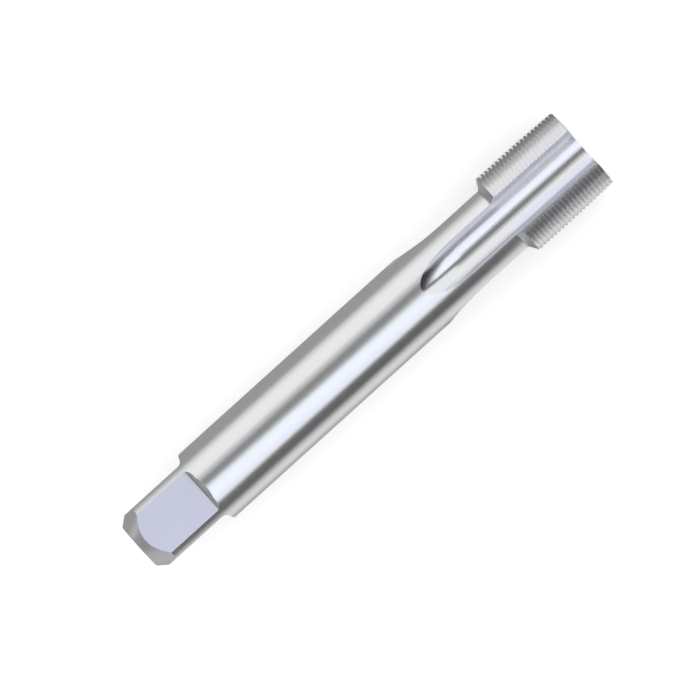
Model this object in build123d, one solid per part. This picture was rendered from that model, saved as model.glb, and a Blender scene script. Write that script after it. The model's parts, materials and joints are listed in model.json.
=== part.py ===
from build123d import *
import os
from math import atan2, cos, degrees, pi, radians, sin, sqrt, tan

# A machine tap for cutting a fine metric thread, turned, milled and ground from one
# bar of high-speed steel. It lies level along X, its cutting end towards +X and one
# of its flutes upwards. The origin is under the middle of the tool, on the surface
# that it lies on. Sizes are in millimetres and degrees.

# Whole tool and plain shank
total_length = 125.0
shank_diameter = 17.7

# Driving square at the back end
square_across_flats = 14.0
square_length = 18.6
square_cutter_radius = 1.4
square_rim_angle = 45.0
end_face_diameter = 10.8
end_cone_half_angle = 38.5

# Cutting thread at the front end
thread_diameter = 22.2
thread_pitch = 1.0
thread_length = 20.9
back_chamfer_angle = 58.8
back_foot_radius = 0.6
taper_lead_length = 10.0
taper_lead_drop = 0.3

# Straight flutes, milled in from the front end
flute_count = 4
web_diameter = 10.4
flute_length = 32.9
flute_cutter_radius = 22.0
rake_root_radius = 4.25
heel_root_radius = 5.0
rake_wall_lean = 15.0

# Centres at both ends, between which the tool was turned and ground
centre_mouth_diameter = 4.2
centre_pilot_diameter = 1.8
centre_pilot_depth = 2.0
centre_cone_angle = 60.0

# Metric thread form. The grooves are ground sharp at the root, as deep as their flanks
# reach, and each crest between them is a flat of this share of the pitch.
crest_flat_share = 0.3
thread_flank_angle = 30.0

# How far a cutting shape reaches past the surface that it cuts through, how much of
# the way to the next land a groove is cut, and how far its wheel stands over it
overcut = 1.0
groove_reach_share = 0.9
wheel_height_share = 1.1

shank_radius = shank_diameter / 2
thread_radius = thread_diameter / 2
web_radius = web_diameter / 2
end_face_radius = end_face_diameter / 2
groove_mouth = thread_pitch * (1 - crest_flat_share)
thread_depth = groove_mouth / 2 / tan(radians(thread_flank_angle))
land_angle = 360 / flute_count
thread_start = total_length - thread_length
full_depth_end = total_length - flute_length


def flute_rake_foot():
    """Where the flute's round floor meets its straight rake wall, across and up."""
    lean = radians(rake_wall_lean)
    across = rake_root_radius * cos(lean)
    up = web_radius + rake_root_radius * (1 - sin(lean))
    return across, up


def flute_edges():
    """The cutting edge and the heel edge of the upper flute, across and up."""
    lean = radians(rake_wall_lean)
    foot_across, foot_up = flute_rake_foot()
    along = foot_across * sin(lean) + foot_up * cos(lean)
    inside = thread_radius**2 - foot_across**2 - foot_up**2
    wall = sqrt(along**2 + inside) - along
    cutting_edge = (foot_across + wall * sin(lean), foot_up + wall * cos(lean))

    floor_centre = web_radius + heel_root_radius
    heel_up = (thread_radius**2 + floor_centre**2 - heel_root_radius**2) / (
        2 * floor_centre
    )
    if heel_up > floor_centre:
        heel_up = sqrt(thread_radius**2 - heel_root_radius**2)
    heel_edge = (-sqrt(thread_radius**2 - heel_up**2), heel_up)
    return cutting_edge, heel_edge


def turned_blank():
    """The bar as turned: end cone, shank, back chamfer, thread outside and lead."""
    cone_length = (shank_radius - end_face_radius) / tan(radians(end_cone_half_angle))
    chamfer_length = (thread_radius - shank_radius) / tan(radians(back_chamfer_angle))
    chamfer_foot = (thread_start - chamfer_length, shank_radius)
    with BuildSketch(Plane.XZ) as profile:
        with BuildLine():
            Polyline(
                (0, 0),
                (0, end_face_radius),
                (cone_length, shank_radius),
                chamfer_foot,
                (thread_start, thread_radius),
                (total_length - taper_lead_length, thread_radius),
                (total_length, thread_radius - taper_lead_drop),
                (total_length, 0),
                close=True,
            )
        make_face()
        foot = profile.vertices().sort_by_distance((chamfer_foot[0], 0, chamfer_foot[1]))
        fillet(foot[0], back_foot_radius)
    return revolve(profile.sketch, Axis.X)


def square_cut():
    """What is cut off one side of the square, with a round run-out and its rim."""
    flat_up = square_across_flats / 2
    run_out_start = square_length - square_cutter_radius
    rim_up = flat_up + square_cutter_radius
    top = thread_radius + overcut
    rim_end = square_length + (top - rim_up) / tan(radians(square_rim_angle))
    with BuildSketch(Plane.XZ) as profile:
        with BuildLine():
            Line((-overcut, flat_up), (run_out_start, flat_up))
            RadiusArc(
                (run_out_start, flat_up),
                (square_length, rim_up),
                -square_cutter_radius,
            )
            Polyline(
                (square_length, rim_up),
                (rim_end, top),
                (-overcut, top),
                (-overcut, flat_up),
            )
        make_face()
    return extrude(profile.sketch, shank_diameter, both=True)


def flute_cut():
    """The upper flute: a form-milled channel, with the round run-out of its cutter."""
    rake_foot = flute_rake_foot()
    half_turn = radians(90 - rake_wall_lean) / 2
    rake_middle = (
        rake_root_radius * sin(half_turn),
        web_radius + rake_root_radius * (1 - cos(half_turn)),
    )
    top = thread_radius + overcut
    wall_top = (
        rake_foot[0] + (top - rake_foot[1]) * tan(radians(rake_wall_lean)),
        top,
    )
    heel_side = (-heel_root_radius, web_radius + heel_root_radius)
    section_plane = Plane((full_depth_end, 0, 0), x_dir=(0, 1, 0), z_dir=(1, 0, 0))
    with BuildSketch(section_plane) as section:
        with BuildLine():
            ThreePointArc((0, web_radius), rake_middle, rake_foot)
            Polyline(rake_foot, wall_top, (-heel_root_radius, top), heel_side)
            RadiusArc(heel_side, (0, web_radius), -heel_root_radius)
        make_face()
    channel = extrude(section.sketch, flute_length + overcut)
    cutter_centre = (full_depth_end, 0, web_radius + flute_cutter_radius)
    run_out = revolve(section.sketch, Axis(cutter_centre, (0, 1, 0)), 90)
    return channel + run_out


def thread_groove():
    """One groove of the thread across one land, at the lead angle of the helix.

    A land is narrow, so a ring leaned by the lead angle follows the helix there to
    a few thousandths of a millimetre.
    """
    wheel_height = thread_depth * wheel_height_share
    half_wheel = wheel_height * tan(radians(thread_flank_angle))
    root_radius = thread_radius - thread_depth
    with BuildSketch(Plane.XZ) as section:
        with BuildLine():
            Polyline(
                (0, root_radius),
                (half_wheel, root_radius + wheel_height),
                (-half_wheel, root_radius + wheel_height),
                close=True,
            )
        make_face()
    width = land_angle * groove_reach_share
    ring_piece = Rot(-width / 2, 0, 0) * revolve(section.sketch, Axis.X, width)
    lead_angle = degrees(atan2(thread_pitch, 2 * pi * thread_radius))
    return Rot(0, 0, lead_angle) * ring_piece


def thread_grooves():
    """Every groove of the right-hand thread, turn by turn and land by land."""
    groove = thread_groove()
    turns = int((thread_length + overcut) / thread_pitch) + 1
    grooves = []
    for turn in range(turns):
        for land in range(flute_count):
            share = (land + 0.5) / flute_count
            place = thread_start + thread_pitch * (turn + share)
            grooves.append(Pos(place, 0, 0) * Rot(land_angle * (land + 0.5), 0, 0) * groove)
    return grooves


def centre_hole():
    """A 60 degree centre with its pilot, drilled into the back end along +X."""
    mouth_radius = centre_mouth_diameter / 2
    pilot_radius = centre_pilot_diameter / 2
    cone_depth = (mouth_radius - pilot_radius) / tan(radians(centre_cone_angle / 2))
    pilot_end = cone_depth + centre_pilot_depth
    with BuildSketch(Plane.XZ) as profile:
        with BuildLine():
            Polyline(
                (0, 0),
                (0, mouth_radius),
                (cone_depth, pilot_radius),
                (pilot_end, pilot_radius),
                (pilot_end + pilot_radius / tan(radians(centre_cone_angle)), 0),
                close=True,
            )
        make_face()
    return revolve(profile.sketch, Axis.X)


def thread_tap():
    """The whole tap, lying at the place where it rests."""
    tool = turned_blank()
    tool -= [Rot(90 * side, 0, 0) * square_cut() for side in range(4)]
    tool -= [Rot(land_angle * turn, 0, 0) * flute_cut() for turn in range(flute_count)]
    tool -= thread_grooves()
    tool -= centre_hole()
    tool -= Pos(total_length, 0, 0) * Rot(0, 0, 180) * centre_hole()

    # The tool lies on the two lands beside its lower flute, each on the edge there
    axis_height = max(up for across, up in flute_edges())
    return Pos(-total_length / 2, 0, axis_height) * tool


os.makedirs("parts", exist_ok=True)
tap = thread_tap()
export_step(tap, "parts/thread_tap.step")
print("volume", round(tap.volume, 1), "faces", len(tap.faces()))
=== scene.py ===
import json
from math import atan2, cos, hypot, pi, radians, sin, sqrt, tan

import bmesh
import bpy
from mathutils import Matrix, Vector
from mathutils.geometry import tessellate_polygon


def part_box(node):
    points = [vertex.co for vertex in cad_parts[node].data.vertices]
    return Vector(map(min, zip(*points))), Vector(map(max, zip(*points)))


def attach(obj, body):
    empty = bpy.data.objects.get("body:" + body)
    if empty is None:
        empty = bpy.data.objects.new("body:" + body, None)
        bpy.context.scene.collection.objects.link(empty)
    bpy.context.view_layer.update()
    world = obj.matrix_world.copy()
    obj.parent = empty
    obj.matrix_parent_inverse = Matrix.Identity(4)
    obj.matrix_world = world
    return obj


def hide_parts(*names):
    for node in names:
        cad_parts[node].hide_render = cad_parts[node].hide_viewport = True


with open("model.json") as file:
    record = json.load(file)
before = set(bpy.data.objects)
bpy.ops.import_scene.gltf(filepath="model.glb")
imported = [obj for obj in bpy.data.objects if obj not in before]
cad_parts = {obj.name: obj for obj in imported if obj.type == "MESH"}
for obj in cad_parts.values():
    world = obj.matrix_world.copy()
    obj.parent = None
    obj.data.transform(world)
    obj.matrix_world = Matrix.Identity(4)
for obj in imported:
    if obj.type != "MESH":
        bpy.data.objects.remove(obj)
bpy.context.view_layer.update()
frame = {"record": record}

# The bar
# The tap is one bar of high-speed steel, turned between centres: an end cone at the
# back, a plain shank, a back chamfer up to the thread, and a short tapered lead.
mm = 0.001
tap_mounts = {mount["name"]: mount for mount in frame["record"]["mounts"]}
tap_low, tap_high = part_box("thread_tap")
tool_length = (tap_high.x - tap_low.x) / mm
axis_height = (tap_low.z + tap_high.z) / 2 / mm
shank_radius = tap_mounts["shank"]["dims"]["r_mm"]
thread_radius = tap_mounts["cutting_thread"]["dims"]["r_mm"]
thread_start = tool_length - tap_mounts["cutting_thread"]["dims"]["length_mm"]
end_face_radius = 5.4
end_cone_angle = radians(38.5)
chamfer_angle = radians(58.8)
chamfer_foot_radius = 0.6
chamfer_foot = thread_start - (thread_radius - shank_radius) / tan(chamfer_angle)
lead_length = 10.0
lead_drop = 0.3
lead_start = tool_length - lead_length
lead_slope = lead_drop / lead_length
centre_mouth_radius = tap_mounts["back_centre"]["dims"]["r_mm"]
centre_pilot_radius = 0.9
centre_pilot_depth = 2.0
centre_half_angle = radians(30)
pilot_tip_angle = radians(60)

# Every section of the bar has the same columns: in each quarter a strip across the
# flute or the flat, which is a floor between two walls, and then the land beside it.
land_columns = 30
floor_columns = 34
wall_radii = (9.3, 9.75, 10.15)
wall_columns = len(wall_radii) + 1
strip_columns = floor_columns + 2 * wall_columns
quarter_columns = strip_columns + land_columns
section_columns = 4 * quarter_columns
sections = []
stretches = []


def bar_point(x, across, up, quarter):
    """A point of the tool in metres: along it from the back end, across and up."""
    turn = quarter * pi / 2
    y = across * cos(turn) - up * sin(turn)
    z = across * sin(turn) + up * cos(turn)
    return ((x - tool_length / 2) * mm, y * mm, (z + axis_height) * mm)


def four_quarters(strip, land):
    """One section of the tool: a strip and the land beside it, four times round."""
    return [[bar_point(*point, k) for point in strip + land] for k in range(4)]


def land_points(x, radius, rake_angle, heel_angle):
    """The round stretch from this quarter's heel side to the next one's rake side."""
    spread = pi / 2 - rake_angle - heel_angle
    angles = [heel_angle + spread * i / land_columns for i in range(land_columns)]
    return [(x, -radius * sin(angle), radius * cos(angle)) for angle in angles]


def plain_section(x, radius):
    """A full circle round the bar. The strip of each quarter closes to a point."""
    strip = [(x, 0, radius)] * strip_columns
    return four_quarters(strip, land_points(x, radius, 0, 0))


def add_section(stretch, points):
    """Adds the next section along the tool, and names the stretch that leads to it."""
    stretches.append(stretch)
    sections.append(points)


cone_depth = (centre_mouth_radius - centre_pilot_radius) / tan(centre_half_angle)
pilot_end = cone_depth + centre_pilot_depth
pilot_tip = pilot_end + centre_pilot_radius / tan(pilot_tip_angle)
centre_profile = [
    (pilot_tip, 0),
    (pilot_end, centre_pilot_radius),
    (cone_depth, centre_pilot_radius),
    (0, centre_mouth_radius),
]
for x, radius in centre_profile:
    add_section("centre", plain_section(x, radius))
add_section("end_face", plain_section(0, end_face_radius))

# The driving square
# Four flats milled on the back end, for a tap wrench. Each runs out into the shank in
# the round of the cutter and a chamfered rim, and the end cone cuts the corners back.
flat_height = abs(tap_mounts["square_flat_up"]["pos_m"][2] / mm - axis_height)
half_flat = sqrt(shank_radius**2 - flat_height**2)
square_length = 18.6
square_cutter_radius = 1.4
square_run_out_start = square_length - square_cutter_radius
rim = shank_radius - flat_height - square_cutter_radius
rim_end = square_length + rim
cone_steps = 10
flat_steps = 5
square_run_out_angles = (8, 16, 24, 32, 40, 48, 56, 64, 71, 77, 82, 86, 90)
rim_steps = 6


def square_section(x, radius, height):
    """One section through the square: four flats with the bar's round between."""
    half = sqrt(max(radius**2 - height**2, 0))
    corner = atan2(half, height)
    inner = [half * (1 - 2 * i / floor_columns) for i in range(1, floor_columns)]
    across = [half] * (wall_columns + 1) + inner + [-half] * wall_columns
    strip = [(x, place, height) for place in across]
    return four_quarters(strip, land_points(x, radius, corner, corner))


for step in range(cone_steps + 1):
    radius = hypot(flat_height, half_flat * step / cone_steps)
    x = (radius - end_face_radius) / tan(end_cone_angle)
    add_section("end_cone", square_section(x, radius, flat_height))
cone_end = x
for step in range(1, flat_steps + 1):
    x = cone_end + (square_run_out_start - cone_end) * step / flat_steps
    add_section("square", square_section(x, shank_radius, flat_height))
for angle in square_run_out_angles:
    x = square_run_out_start + square_cutter_radius * sin(radians(angle))
    height = flat_height + square_cutter_radius * (1 - cos(radians(angle)))
    add_section("square_run_out", square_section(x, shank_radius, height))
for step in range(1, rim_steps + 1):
    share = 1 - (1 - step / rim_steps) ** 2
    height = shank_radius - rim * (1 - share)
    add_section("rim", square_section(square_length + rim * share, shank_radius, height))

# The flutes
# Four straight chip flutes, milled in from the front with a form cutter: a straight
# rake wall on one side, a round floor, and the cutter's own run-out at the back.
web_radius = 5.2
flute_length = 32.9
flute_cutter_radius = 22.0
rake_root_radius = 4.25
heel_root_radius = 5.0
rake_lean = radians(15)
full_depth_start = tool_length - flute_length
cutter_height = web_radius + flute_cutter_radius
rake_floor_length = rake_root_radius * (pi / 2 - rake_lean)
run_out_length = sqrt(flute_cutter_radius**2 - (cutter_height - shank_radius) ** 2)
run_out_tip = full_depth_start - run_out_length
foot_start = chamfer_foot - chamfer_foot_radius * tan(chamfer_angle / 2)
longest_floor = 8.6
edge_halvings = 48
shank_steps = 12
run_out_steps = 30
full_depth_steps = 5
foot_steps = 5


def flute_floor(along, back):
    """Across and up, so far along the flute's floor from its bottom line towards the
    rake side, and so far back from where the full depth ends."""
    if along < 0:
        turn = -along / heel_root_radius
        across = -heel_root_radius * sin(turn)
        up = web_radius + heel_root_radius * (1 - cos(turn))
    else:
        turn = min(along, rake_floor_length) / rake_root_radius
        wall = max(along - rake_floor_length, 0)
        across = rake_root_radius * sin(turn) + wall * sin(rake_lean)
        up = web_radius + rake_root_radius * (1 - cos(turn)) + wall * cos(rake_lean)
    if back > 0:
        up = cutter_height - sqrt(max((cutter_height - up) ** 2 - back**2, 0))
    return across, up


def flute_edge(radius, back, side):
    """How far along the floor it meets a circle of this radius, on one side. The
    stretch in which it does is halved again and again."""
    low, high = 0.0, longest_floor
    for _ in range(edge_halvings):
        middle = (low + high) / 2
        if hypot(*flute_floor(side * middle, back)) < radius:
            low = middle
        else:
            high = middle
    return side * low


def flute_strip(rake_edge, heel_edge, back):
    """The strip across one flute, up to where the next land begins at its heel edge.
    Each edge is given as (x, radius)."""
    rake_x, rake_radius = rake_edge
    heel_x, heel_radius = heel_edge
    foot_radius = min(rake_radius, heel_radius, shank_radius)
    rake_along = flute_edge(foot_radius, back, 1)
    heel_along = flute_edge(foot_radius, back, -1)
    points = [(rake_x, *flute_floor(flute_edge(rake_radius, back, 1), back))]
    for radius in reversed(wall_radii):
        along = flute_edge(min(radius, rake_radius), back, 1)
        points.append((rake_x, *flute_floor(along, back)))
    for i in range(floor_columns + 1):
        share = i / floor_columns
        along = rake_along + (heel_along - rake_along) * share
        x = rake_x + (heel_x - rake_x) * share
        points.append((x, *flute_floor(along, back)))
    for radius in wall_radii:
        along = flute_edge(min(radius, heel_radius), back, -1)
        points.append((heel_x, *flute_floor(along, back)))
    return points


def edge_angles(radius, back):
    """The angles from the flute's centre line to its rake edge and its heel edge."""
    rake = flute_floor(flute_edge(radius, back, 1), back)
    heel = flute_floor(flute_edge(radius, back, -1), back)
    return atan2(rake[0], rake[1]), atan2(-heel[0], heel[1])


def fluted_section(x, radius, back):
    """One section through the four flutes and the lands between them."""
    strip = flute_strip((x, radius), (x, radius), back)
    return four_quarters(strip, land_points(x, radius, *edge_angles(radius, back)))


for step in range(1, shank_steps + 1):
    x = rim_end + (run_out_tip - rim_end) * step / shank_steps
    add_section("shank", plain_section(x, shank_radius))
for step in range(1, run_out_steps + 1):
    back = run_out_length * (1 - (step / run_out_steps) ** 2)
    points = fluted_section(full_depth_start - back, shank_radius, back)
    add_section("fluted_shank", points)
for step in range(1, full_depth_steps + 1):
    x = full_depth_start + (foot_start - full_depth_start) * step / full_depth_steps
    add_section("fluted_shank", fluted_section(x, shank_radius, 0))
for step in range(1, foot_steps + 1):
    turn = chamfer_angle * step / foot_steps
    x = foot_start + chamfer_foot_radius * sin(turn)
    radius = shank_radius + chamfer_foot_radius * (1 - cos(turn))
    add_section("chamfer", fluted_section(x, radius, 0))

# The thread
# A right-hand metric thread of one millimetre pitch, ground as V-grooves round the
# four lands. The lead's taper takes the crests down towards the front face.
thread_pitch = 1.0
crest_share = 0.3
flank_angle = radians(30)
flank_slope = 1 / tan(flank_angle)
groove_depth = thread_pitch * (1 - crest_share) / 2 * flank_slope
groove_count = 22
points_per_groove = 3
root_radius = thread_radius - groove_depth
chamfer_slope = tan(chamfer_angle)


def on_crest(x):
    """The point of the thread's outside at this place along the tool."""
    return x, thread_radius - lead_slope * max(x - lead_start, 0)


def crest_before(groove):
    """Where the left flank of a groove reaches the outside of the bar."""
    x = groove - groove_depth / flank_slope
    if x > lead_start:
        rise = root_radius + flank_slope * groove - thread_radius
        x = (rise - lead_slope * lead_start) / (flank_slope - lead_slope)
    return on_crest(x)


def crest_after(groove):
    """Where the right flank of a groove reaches the outside of the bar."""
    x = groove + groove_depth / flank_slope
    if x > lead_start:
        fall = thread_radius - root_radius + flank_slope * groove
        x = (fall + lead_slope * lead_start) / (flank_slope + lead_slope)
    return on_crest(x)


def thread_line(angle):
    """The thread's outline at one angle round the tool, as (x, radius) points: where
    the chamfer meets it, its first crest, and three points for each groove."""
    shift = thread_start + thread_pitch * angle / (2 * pi)
    grooves = [shift + thread_pitch * n for n in range(groove_count)]
    first = grooves[0]
    x = root_radius + flank_slope * first - shank_radius + chamfer_slope * chamfer_foot
    x = x / (chamfer_slope + flank_slope)
    radius = shank_radius + chamfer_slope * (x - chamfer_foot)
    if radius < thread_radius:
        points = [(x, radius), (x, radius)]
    else:
        points = [(thread_start, thread_radius), crest_before(first)]
    for groove in grooves:
        points.append((groove, root_radius))
        points.append(crest_after(groove))
        points.append(crest_before(groove + thread_pitch))
    nearest = min(grooves, key=lambda groove: abs(groove - tool_length))
    front_radius = min(
        thread_radius - lead_drop,
        root_radius + flank_slope * abs(tool_length - nearest),
    )
    return [p if p[0] < tool_length else (tool_length, front_radius) for p in points]


def threaded_sections():
    """Every section from the chamfer to the front face. Each column has the outline
    at its own angle, so that crests and grooves run round the tool as a helix."""
    rake_angle, heel_angle = edge_angles(thread_radius, 0)
    spread = pi / 2 - rake_angle - heel_angle
    edges = {}
    lines = []
    for k in range(4):
        land_start = k * pi / 2 + heel_angle
        angles = [land_start + spread * i / land_columns for i in range(land_columns + 1)]
        lines.append([thread_line(angle) for angle in angles])
    for i in range(len(lines[0][0])):
        section = []
        for k in range(4):
            rake_edge = lines[k - 1][land_columns][i]
            heel_edge = lines[k][0][i]
            points = flute_strip(rake_edge, heel_edge, 0)
            for column in range(land_columns):
                x, radius = lines[k][column][i]
                if radius not in edges:
                    edges[radius] = edge_angles(radius, 0)
                rake, heel = edges[radius]
                angle = heel + (pi / 2 - rake - heel) * column / land_columns
                points.append((x, -radius * sin(angle), radius * cos(angle)))
            section.append([bar_point(*point, k) for point in points])
        yield section


for i, section in enumerate(threaded_sections()):
    if i == 0:
        add_section("chamfer", section)
    elif i % points_per_groove == 1:
        add_section("crest", section)
    else:
        add_section("groove", section)

# The body
# All of these belong to one solid bar, so they are joined into one closed mesh. The
# front face is ground flat, with the second centre in its middle.

# The steel is bright all over, but each tool leaves its own marks: the grinding wheel
# on shank, flats and thread, the form cutter in the flutes, the lathe on the ends.
# Some colours are painted light and shade: the rake side of each flute lighter and its
# heel side darker, the thread's grooves lighter, its crests and back chamfer darker.
smooth_end = 19
rough_start = 29
smooth_share = 0.5
polished_share = 0.8
dull_share = 1.25


def steel(name, colour, roughness, marks, depth, smooth_back=False):
    """A bright tool steel. Marks sets how fine the tooling marks are along each axis,
    and depth how deep they are, in mm. With a smooth back it is half as rough where
    the flutes run out into the shank."""
    finish = bpy.data.materials.new(name)
    finish.use_nodes = True
    nodes = finish.node_tree.nodes
    links = finish.node_tree.links
    shader = nodes["Principled BSDF"]
    shader.inputs["Base Color"].default_value = (*colour, 1)
    shader.inputs["Metallic"].default_value = 1
    place = nodes.new("ShaderNodeTexCoord")
    spread = nodes.new("ShaderNodeMapping")
    spread.inputs["Scale"].default_value = marks
    links.new(place.outputs["Object"], spread.inputs["Vector"])
    grain = nodes.new("ShaderNodeTexNoise")
    grain.inputs["Scale"].default_value = 1
    grain.inputs["Detail"].default_value = 3
    links.new(spread.outputs["Vector"], grain.inputs["Vector"])
    sheen = nodes.new("ShaderNodeMapRange")
    sheen.inputs["To Min"].default_value = roughness * polished_share
    sheen.inputs["To Max"].default_value = roughness * dull_share
    links.new(grain.outputs["Fac"], sheen.inputs["Value"])
    links.new(sheen.outputs["Result"], shader.inputs["Roughness"])
    if smooth_back:
        split = nodes.new("ShaderNodeSeparateXYZ")
        links.new(place.outputs["Object"], split.inputs["Vector"])
        fade = nodes.new("ShaderNodeMapRange")
        fade.inputs["From Min"].default_value = smooth_end * mm
        fade.inputs["From Max"].default_value = rough_start * mm
        fade.inputs["To Min"].default_value = smooth_share
        links.new(split.outputs["X"], fade.inputs["Value"])
        scaled = nodes.new("ShaderNodeMath")
        scaled.operation = "MULTIPLY"
        links.new(sheen.outputs["Result"], scaled.inputs[0])
        links.new(fade.outputs["Result"], scaled.inputs[1])
        links.new(scaled.outputs[0], shader.inputs["Roughness"])
    relief = nodes.new("ShaderNodeBump")
    relief.inputs["Strength"].default_value = 0.3
    relief.inputs["Distance"].default_value = depth * mm
    links.new(grain.outputs["Fac"], relief.inputs["Height"])
    links.new(relief.outputs["Normal"], shader.inputs["Normal"])
    return finish


tap_finishes = [
    steel("ground_round", (0.82, 0.82, 0.83), 0.22, (6000, 300, 300), 0.002),
    steel("ground_flat", (0.815, 0.805, 0.94), 0.5, (800, 2500, 2500), 0.004),
    steel("turned_end", (0.78, 0.78, 0.79), 0.3, (5000, 500, 500), 0.003),
    steel("milled_flute", (0.81, 0.81, 0.84), 0.17, (200, 5000, 5000), 0.001),
    # Painted light on the rake wall and rake face, painted shade on the heel wall: lighter and
    # darker copies of the milled flute
    steel("rake_wall_painted_light", (0.87, 0.87, 0.9), 0.34, (200, 3000, 3000), 0.001, smooth_back=True),
    steel("rake_face_painted_light", (0.97, 0.97, 0.99), 0.32, (200, 3000, 3000), 0.001),
    steel("heel_wall_painted_shade", (0.77, 0.77, 0.82), 0.24, (200, 3000, 3000), 0.001),
    # Painted shade: the back chamfer is coloured darker, for the table's shade that it mirrors
    steel("back_chamfer_painted_shade", (0.6, 0.6, 0.61), 0.3, (800, 800, 800), 0.003),
    # Painted light in the grooves and painted shade on the crests, so that both come out about
    # as bright
    steel("thread_groove_painted_light", (0.92, 0.92, 0.93), 0.16, (2000, 600, 600), 0.001),
    steel("thread_crest_painted_shade", (0.72, 0.72, 0.73), 0.14, (2000, 600, 600), 0.001),
]
finish_names = [finish.name for finish in tap_finishes]
land_finish = {
    "centre": "turned_end",
    "end_face": "turned_end",
    "end_cone": "turned_end",
    "square": "ground_round",
    "square_run_out": "ground_round",
    "rim": "ground_round",
    "shank": "ground_round",
    "fluted_shank": "ground_round",
    "chamfer": "back_chamfer_painted_shade",
    "crest": "thread_crest_painted_shade",
    "groove": "thread_groove_painted_light",
}
flat_finish = {
    "end_cone": "ground_flat",
    "square": "ground_flat",
    "square_run_out": "turned_end",
    "rim": "turned_end",
}
rake_columns = wall_columns + 10
heel_columns = wall_columns + 3
same_place = 1e-7
weld_distance = 0.0002
sharpest_smooth_edge = radians(25)


def finish_at(stretch, column):
    """The finish of one face, from its stretch of the tool and its column."""
    place = column % quarter_columns
    if place >= strip_columns:
        return land_finish[stretch]
    if stretch == "fluted_shank":
        # The rake side is painted lighter and the heel side darker than the flute's floor
        return "rake_wall_painted_light" if place < rake_columns else "milled_flute"
    if stretch in ("chamfer", "crest", "groove"):
        if place < rake_columns:
            return "rake_face_painted_light"
        if stretch != "chamfer" and place >= strip_columns - heel_columns:
            return "heel_wall_painted_shade"
        return "milled_flute"
    return flat_finish.get(stretch, land_finish[stretch])


def join_sections(points, stretch_after, vertices, faces, finishes):
    """Adds sections to the mesh, with faces from each one to the next."""
    first = len(vertices)
    for section in points:
        for quarter in section:
            vertices.extend(quarter)
    for i in range(len(points) - 1):
        for column in range(section_columns):
            beside = (column + 1) % section_columns
            here = first + i * section_columns
            there = here + section_columns
            faces.append((here + column, here + beside, there + beside, there + column))
            finishes.append(finish_names.index(finish_at(stretch_after[i], column)))


def ring_points(ring, vertices):
    """The points of a closed ring in their order, each place named once."""
    kept = []
    for i in ring:
        if not kept or (Vector(vertices[i]) - Vector(vertices[kept[-1]])).length > same_place:
            kept.append(i)
    return kept


vertices = []
faces = []
finishes = []
join_sections(sections, stretches[1:], vertices, faces, finishes)
mouth_start = len(vertices)
front_centre = [
    plain_section(tool_length - x, radius) for x, radius in reversed(centre_profile)
]
join_sections(front_centre, ["centre"] * len(front_centre), vertices, faces, finishes)
outer = ring_points(range(mouth_start - section_columns, mouth_start), vertices)
inner = ring_points(range(mouth_start, mouth_start + section_columns), vertices)
face_ring = outer + inner
outlines = [[Vector(vertices[i]).yzx for i in ring] for ring in (outer, inner)]
for triangle in tessellate_polygon(outlines):
    faces.append(tuple(face_ring[i] for i in triangle))
    finishes.append(finish_names.index("turned_end"))

tap_mesh = bpy.data.meshes.new("tap_body")
tap_mesh.from_pydata(vertices, [], faces)
tap_mesh.polygons.foreach_set("material_index", finishes)
work = bmesh.new()
work.from_mesh(tap_mesh)
bmesh.ops.remove_doubles(work, verts=work.verts, dist=weld_distance * mm)
bmesh.ops.recalc_face_normals(work, faces=work.faces)
work.to_mesh(tap_mesh)
open_edges = sum(1 for edge in work.edges if len(edge.link_faces) != 2)
work.free()
print("tap mesh", len(tap_mesh.polygons), "faces,", open_edges, "open edges")

# The ground shank shades as the true round, right up to the edges of flats and flutes
tap_mesh.polygons.foreach_set("use_smooth", [True] * len(tap_mesh.polygons))
tap_mesh.set_sharp_from_angle(angle=sharpest_smooth_edge)
round_finish = finish_names.index("ground_round")
normals = [Vector(corner.vector) for corner in tap_mesh.corner_normals]
for polygon in tap_mesh.polygons:
    if polygon.material_index == round_finish:
        for corner in polygon.loop_indices:
            point = tap_mesh.vertices[tap_mesh.loops[corner].vertex_index].co
            normals[corner] = Vector((0, point.y, point.z - axis_height * mm)).normalized()
tap_mesh.normals_split_custom_set(normals)
for finish in tap_finishes:
    tap_mesh.materials.append(finish)
tap = bpy.data.objects.new("tap_body", tap_mesh)
bpy.context.scene.collection.objects.link(tap)
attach(tap, "root")
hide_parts("thread_tap")

# The floor
# A plain white table that the tap lies on, as large as the view of any side needs.
# For the camera it is lifted to plain white, and the tap's soft shadow stays on it.
floor_reach = 3.0
floor_lift = 0.32
floor_mesh = bpy.data.meshes.new("floor")
floor_mesh.from_pydata(
    [
        (-floor_reach, -floor_reach, 0),
        (floor_reach, -floor_reach, 0),
        (floor_reach, floor_reach, 0),
        (-floor_reach, floor_reach, 0),
    ],
    [],
    [(0, 1, 2, 3)],
)
floor = bpy.data.objects.new("floor", floor_mesh)
bpy.context.scene.collection.objects.link(floor)
floor_paint = bpy.data.materials.new("floor_paint")
floor_paint.use_nodes = True
floor_nodes = floor_paint.node_tree.nodes
floor_links = floor_paint.node_tree.links
paint = floor_nodes["Principled BSDF"]
paint.inputs["Base Color"].default_value = (0.9, 0.9, 0.9, 1)
paint.inputs["Roughness"].default_value = 0.9
paint.inputs["Specular IOR Level"].default_value = 0
paint.inputs["Emission Color"].default_value = (1, 1, 1, 1)
light_path = floor_nodes.new("ShaderNodeLightPath")
lift = floor_nodes.new("ShaderNodeMath")
lift.operation = "MULTIPLY"
lift.inputs[1].default_value = floor_lift
seen = floor_nodes.new("ShaderNodeMath")
seen.operation = "MAXIMUM"
floor_links.new(light_path.outputs["Is Camera Ray"], seen.inputs[0])
floor_links.new(light_path.outputs["Is Glossy Ray"], seen.inputs[1])
floor_links.new(seen.outputs[0], lift.inputs[0])
floor_links.new(lift.outputs[0], paint.inputs["Emission Strength"])
floor_mesh.materials.append(floor_paint)

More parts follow.
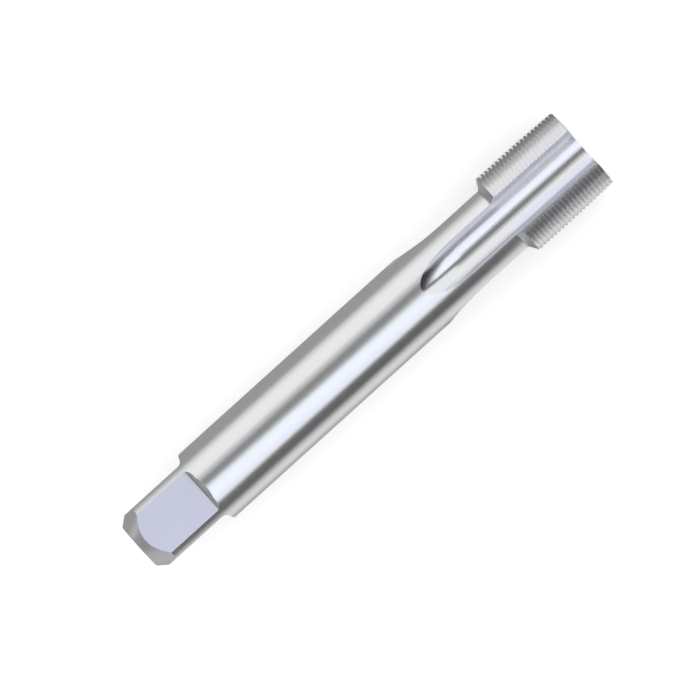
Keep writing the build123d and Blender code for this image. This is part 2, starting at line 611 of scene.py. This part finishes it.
# The light
# A white studio all round gives the soft even light. Long cards beside and above the
# tap are what its steel mirrors: a cool bright one, and grey and black flags.
studio = bpy.data.worlds.new("studio")
studio.use_nodes = True
studio.node_tree.nodes["Background"].inputs["Color"].default_value = (1, 1, 1, 1)
studio.node_tree.nodes["Background"].inputs["Strength"].default_value = 1
bpy.context.scene.world = studio
card_distance = 400
card_reach = 1500
card_folds = 6
end_card_fold = 9


def grey(level):
    """The same level in red, green and blue."""
    return (level, level, level)


def board(name, corners, colour):
    """A card between pairs of corners in mm. Only what mirrors it sees it."""
    sides = [(i, i + 1, i + 3, i + 2) for i in range(0, len(corners) - 2, 2)]
    mesh = bpy.data.meshes.new(name)
    mesh.from_pydata([(x * mm, y * mm, z * mm) for x, y, z in corners], [], sides)
    card = bpy.data.objects.new(name, mesh)
    bpy.context.scene.collection.objects.link(card)
    card.visible_camera = False
    card.visible_diffuse = False
    card.visible_shadow = False
    face = bpy.data.materials.new(name)
    face.use_nodes = True
    face.node_tree.nodes.clear()
    glow = face.node_tree.nodes.new("ShaderNodeEmission")
    glow.inputs["Color"].default_value = (*colour, 1)
    out = face.node_tree.nodes.new("ShaderNodeOutputMaterial")
    face.node_tree.links.new(glow.outputs[0], out.inputs["Surface"])
    mesh.materials.append(face)


def bent_card(
    name, start, end, colour, left=-card_reach, right=card_reach, distance=card_distance
):
    """A long card bent round the tool's axis, between two angles from straight up.
    Positive angles lean towards -Y, the lower right side of the picture."""
    corners = []
    for i in range(card_folds + 1):
        angle = radians(start + (end - start) * i / card_folds)
        y = -distance * sin(angle)
        z = axis_height + distance * cos(angle)
        corners += [(left, y, z), (right, y, z)]
    board(name, corners, colour)


def lying_card(name, near, far, colour, left, right, height=0.5):
    """A long card just above the table beside the tap, from near to far across it."""
    corners = []
    for y in (near, far):
        corners += [(left, y, height), (right, y, height)]
    board(name, corners, colour)


def standing_card(name, centre_x, radius, start, end, low, high, colour):
    """A card round a point of the axis, between two directions from +X towards -Y."""
    corners = []
    for i in range(card_folds + 1):
        turn = radians(start + (end - start) * i / card_folds)
        x = centre_x + radius * cos(turn)
        y = -radius * sin(turn)
        corners += [(x, y, low), (x, y, high)]
    board(name, corners, colour)


def end_card(name, low, high, colour):
    """A card standing round the square's end, between two heights in degrees."""
    corners = []
    for i in range(-card_folds, card_folds + 1):
        turn = radians(end_card_fold * i)
        for height in (low, high):
            x = -tool_length / 2 - card_distance * cos(turn)
            z = axis_height + card_distance * tan(radians(height))
            corners.append((x, card_distance * sin(turn), z))
    board(name, corners, colour)


# Bent over the tap: two bright ones, the grey ones beside them, a black one low down
bent_card("cool_card", 1, 34, (1.07, 1.15, 1.22))
bent_card("lilac_card", 34, 48, (1.03, 1.06, 1.23))
bent_card("top_flag", -18, -1, grey(0.24))
bent_card("top_flag_side", -22, -18, grey(0.24), -150, 150)
bent_card("top_flag_edge", -34, -22, grey(0.62), -150, 150)
bent_card("flute_line_shade", -1, 6, grey(0.5), 22, 75, 395)
bent_card("flute_line_edge", 6, 12, grey(0.72), 22, 75, 395)
bent_card("dark_flag", 55.8, 90, grey(0.115), left=-130)
bent_card("side_card_dark", -91, -88, grey(0.5), -200, 200)
bent_card("side_card_grey", -88, -80, grey(0.7), -200, 200)
bent_card("side_card_light", -80, -73, grey(0.88), -200, 200)

# On the table, which the lower half of the tap mirrors: painted shade of the table round the
# tap
lying_card("upper_table_shade", 5, 1200, grey(0.36), -200, 200)
table_shade = [
    (5, 17, 0.42),
    (17, 23, 0.58),
    (23, 54, 0.8),
    (54, 95, 0.66),
    (95, 180, 0.5),
    (180, 800, 0.3),
]
for near, far, level in table_shade:
    lying_card("lower_table_shade_%d" % near, -near, -far, grey(level), -130, 68)
lying_card("lower_chamfer_shade", -7, -17, grey(0.32), 16, 38, 0.7)
lying_card("upper_chamfer_card", 7, 17, grey(0.48), 16, 38, 0.7)
lying_card("upper_thread_shade", 10, 60, grey(0.24), 43, 70, 0.8)
lying_card("front_table_shade", -20, -800, grey(0.06), 68, 1500)
lying_card("back_table_shade", 12, -500, grey(0.5), -600, -68, 0.7)

# Beyond the front, for the run-out of the flute, and beside the thread
flute_end = 18
flute_card_radius = 300
thread_side = 58
thread_card_radius = 100
standing_card("flute_end_flag", flute_end, flute_card_radius, 4, 60, 0.7, 183, grey(0.03))
standing_card("flute_end_edge_1", flute_end, flute_card_radius, 4, 62, 183, 204, grey(0.13))
standing_card("flute_end_edge_2", flute_end, flute_card_radius, 6, 60, 204, 227, grey(0.27))
standing_card("flute_end_edge_3", flute_end, flute_card_radius, 8, 56, 227, 251, grey(0.45))
standing_card("flute_end_edge_4", flute_end, flute_card_radius, 8, 52, 251, 287, grey(0.68))
standing_card("flute_end_shade", flute_end, flute_card_radius - 5, -7, 4, 100, 300, grey(0.15))
standing_card("thread_back_flag", 52, 300, 125, 145, 0.7, 50, grey(0.03))
standing_card("thread_card_low", thread_side, thread_card_radius, 80, 99, 0.7, 29, grey(0.48))
standing_card("thread_card_high", thread_side, thread_card_radius, 80, 99, 29, 43, grey(0.22))
standing_card("thread_card_top", thread_side, thread_card_radius, 80, 99, 43, 90, grey(0.17))
standing_card("upper_thread_card", thread_side, thread_card_radius, -99, -80, 4, 28, grey(0.58))
end_card("end_grey_card", 0, 16, grey(0.3))
end_card("end_dark_card", 16, 50, grey(0.12))

# Just under the cool card: the dark shape that the middle of the shank mirrors
shade_distance = card_distance * 0.99
shade_start = -1.3
shade_ends = [(-37, -0.8), (-29, 5.5), (-20, 6.8), (-8, 6.8), (6, 4.7), (11, 2.2), (21, -0.8)]
corners = []
for x, shade_end in shade_ends:
    for turn in (radians(shade_start), radians(shade_end)):
        y = -shade_distance * sin(turn)
        corners.append((x, y, axis_height + shade_distance * cos(turn)))
board("camera_shade", corners, grey(0.24))

# The camera
# It looks straight down on the tap with a long lens. The thread points up to the
# right, and the square down to the left.
picture_angle = radians(42.083)
picture_pixels = 700
pixels_per_mm = 4.762
axis_pixel = (367.9, 340.3)
axis_pixel_from_back = 64.6
right = Vector((cos(picture_angle), -sin(picture_angle), 0))
upward = Vector((sin(picture_angle), cos(picture_angle), 0))
aim = Vector(((axis_pixel_from_back - tool_length / 2) * mm, 0, axis_height * mm))
aim -= right * (axis_pixel[0] - picture_pixels / 2) / pixels_per_mm * mm
aim -= upward * (picture_pixels / 2 - axis_pixel[1]) / pixels_per_mm * mm
lens = bpy.data.cameras.new("camera")
lens.lens = 400
lens.clip_end = 20
camera = bpy.data.objects.new("camera", lens)
bpy.context.scene.collection.objects.link(camera)
camera_distance = picture_pixels / pixels_per_mm * mm * lens.lens / lens.sensor_width
camera.location = aim + Vector((0, 0, camera_distance))
camera.rotation_euler = (0, 0, -picture_angle)
bpy.context.scene.camera = camera
bpy.context.scene.view_settings.view_transform = "Standard"
